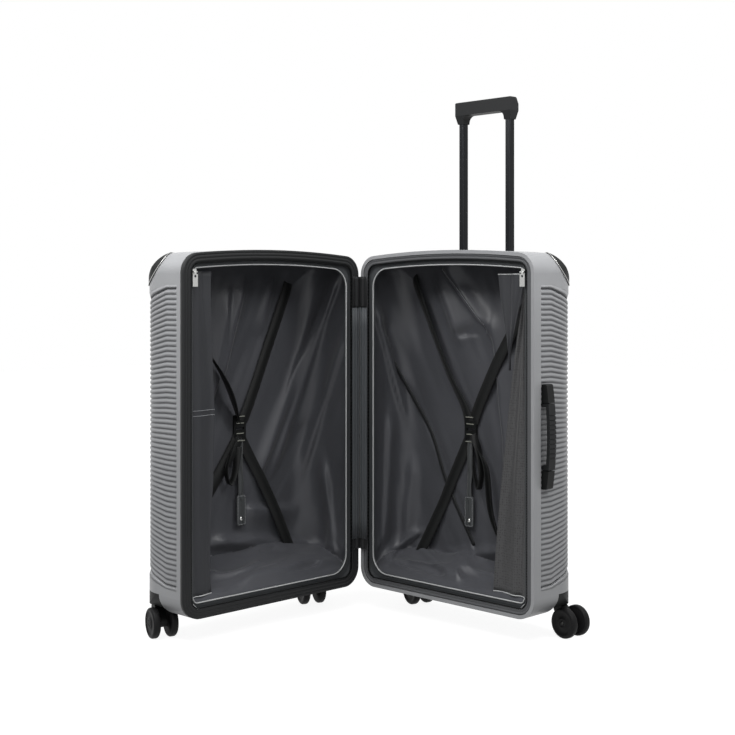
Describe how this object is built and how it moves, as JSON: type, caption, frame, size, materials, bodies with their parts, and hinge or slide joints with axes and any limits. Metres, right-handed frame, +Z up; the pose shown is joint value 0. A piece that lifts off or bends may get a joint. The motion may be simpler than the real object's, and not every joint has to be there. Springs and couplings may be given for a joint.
{
  "type": "hard shell suitcase",
  "caption": "Upright ribbed hard shell suitcase standing open like a book, with lining, packing straps, pull-out trolley handle and swivelling casters.",
  "frame": {"origin": "on the floor under the middle of the open case's bounding box", "axes": "+Z up; the rear half lies along X and opens towards -Y, the front half lies along Y and opens towards +X"},
  "size_m": [0.65, 0.6322, 1.0768],
  "materials": {
    "shell": "satin silver moulded polycarbonate",
    "lining_cloth": "charcoal satin polyester",
    "divider_cloth": "charcoal polyester and mesh",
    "piping": "light grey corded zip",
    "zip_tape": "black woven zip tape",
    "webbing": "black ribbed webbing",
    "black_plastic": "fine textured moulding",
    "wheel_rubber": "satin moulded wheel",
    "tube_metal": "black anodised",
    "steel": "nickel plated"
  },
  "bodies": {
    "rear_case": {"handle_cap_lower": "black_plastic", "handle_cap_upper": "black_plastic", "hinge_strip": "lining_cloth", "outer_tube_left": "tube_metal", "outer_tube_right": "tube_metal", "rear_buckle": "black_plastic", "rear_divider": "divider_cloth", "rear_divider_slider": "steel", "rear_divider_zip": "piping", "rear_guard_hinge": "black_plastic", "rear_guard_outer": "black_plastic", "rear_housing_hinge": "black_plastic", "rear_housing_outer": "black_plastic", "rear_lining": "lining_cloth", "rear_shell": "shell", "rear_strap_tab": "webbing", "rear_straps": "webbing", "rear_zip_tape": "zip_tape", "trolley_foot": "black_plastic", "trolley_tray": "black_plastic"},
    "front_case": {"front_buckle": "black_plastic", "front_divider": "divider_cloth", "front_divider_slider": "steel", "front_divider_zip": "piping", "front_guard_hinge": "black_plastic", "front_guard_outer": "black_plastic", "front_housing_hinge": "black_plastic", "front_housing_outer": "black_plastic", "front_lining": "lining_cloth", "front_shell": "shell", "front_strap_tab": "webbing", "front_straps": "webbing", "front_zip_band": "zip_tape"},
    "trolley": {"grip_cover": "black_plastic", "inner_tube_left": "tube_metal", "inner_tube_right": "tube_metal", "trolley_grip": "black_plastic", "tube_feet": "black_plastic"},
    "release_button": {"release_button": "black_plastic"},
    "push_rod_left": {"push_rod_left": "steel"},
    "push_rod_right": {"push_rod_right": "steel"},
    "side_handle": {"side_handle_grip": "black_plastic"},
    "rear_pull": {"rear_divider_pull": "steel"},
    "front_pull": {"front_divider_pull": "steel"},
    "rear_outer_caster": {"rear_outer_fork": "black_plastic"},
    "rear_outer_wheels": {"rear_outer_wheels": "wheel_rubber", "rear_outer_axle": "steel"},
    "rear_hinge_caster": {"rear_hinge_fork": "black_plastic"},
    "rear_hinge_wheels": {"rear_hinge_wheels": "wheel_rubber", "rear_hinge_axle": "steel"},
    "front_outer_caster": {"front_outer_fork": "black_plastic"},
    "front_outer_wheels": {"front_outer_wheels": "wheel_rubber", "front_outer_axle": "steel"},
    "front_hinge_caster": {"front_hinge_fork": "black_plastic"},
    "front_hinge_wheels": {"front_hinge_wheels": "wheel_rubber", "front_hinge_axle": "steel"}
  },
  "joints": [
    {"name": "lid_hinge", "type": "hinge", "parent": "rear_case", "child": "front_case", "pos_m": [-0.1677, 0.15874, 0.4], "axis": [0, 0, 1], "range_deg": [-90, 90], "deforming": ["hinge_strip"]},
    {"name": "trolley_slide", "type": "slide", "parent": "rear_case", "child": "trolley", "axis": [0, 0, 1], "range_m": [-0.305, 0]},
    {"name": "button_press", "type": "slide", "parent": "trolley", "child": "release_button", "axis": [0, 0, -1], "range_m": [0, 0.003], "stiffness_N_per_m": 900},
    {"name": "left_rod_slide", "type": "slide", "parent": "trolley", "child": "push_rod_left", "axis": [0, 0, -1], "range_m": [0, 0.003]},
    {"name": "right_rod_slide", "type": "slide", "parent": "trolley", "child": "push_rod_right", "axis": [0, 0, -1], "range_m": [0, 0.003]},
    {"name": "side_handle_lift", "type": "slide", "parent": "rear_case", "child": "side_handle", "axis": [1, 0, 0], "range_m": [0, 0.007]},
    {"name": "rear_pull_swing", "type": "hinge", "parent": "rear_case", "child": "rear_pull", "pos_m": [0.27105, 0.16084, 0.714], "axis": [1, 0, 0], "range_deg": [-160, 0]},
    {"name": "front_pull_swing", "type": "hinge", "parent": "front_case", "child": "front_pull", "pos_m": [-0.1698, -0.28001, 0.714], "axis": [0, 1, 0], "range_deg": [-160, 0]},
    {"name": "rear_outer_swivel", "type": "hinge", "parent": "rear_case", "child": "rear_outer_caster", "pos_m": [0.2673, 0.28674, 0.066], "axis": [0, 0, 1], "continuous": true},
    {"name": "rear_outer_roll", "type": "hinge", "parent": "rear_outer_caster", "child": "rear_outer_wheels", "pos_m": [0.2932, 0.28447, 0.03], "axis": [0.0872, 0.9962, 0], "continuous": true},
    {"name": "rear_hinge_swivel", "type": "hinge", "parent": "rear_case", "child": "rear_hinge_caster", "pos_m": [-0.1317, 0.28674, 0.066], "axis": [0, 0, 1], "continuous": true},
    {"name": "rear_hinge_roll", "type": "hinge", "parent": "rear_hinge_caster", "child": "rear_hinge_wheels", "pos_m": [-0.10671, 0.27957, 0.03], "axis": [0.2756, 0.9613, 0], "continuous": true},
    {"name": "front_outer_swivel", "type": "hinge", "parent": "front_case", "child": "front_outer_caster", "pos_m": [-0.2957, -0.27626, 0.066], "axis": [0, 0, 1], "continuous": true},
    {"name": "front_outer_roll", "type": "hinge", "parent": "front_outer_caster", "child": "front_outer_wheels", "pos_m": [-0.27084, -0.28386, 0.03], "axis": [0.2924, 0.9563, 0], "continuous": true},
    {"name": "front_hinge_swivel", "type": "hinge", "parent": "front_case", "child": "front_hinge_caster", "pos_m": [-0.2957, 0.12274, 0.066], "axis": [0, 0, -1], "continuous": true},
    {"name": "front_hinge_roll", "type": "hinge", "parent": "front_hinge_caster", "child": "front_hinge_wheels", "pos_m": [-0.27159, 0.113, 0.03], "axis": [0.3746, 0.9272, 0], "continuous": true}
  ],
  "couplings": [
    {"joint": "left_rod_slide", "follows": "button_press", "ratio": 1},
    {"joint": "right_rod_slide", "follows": "button_press", "ratio": 1}
  ]
}
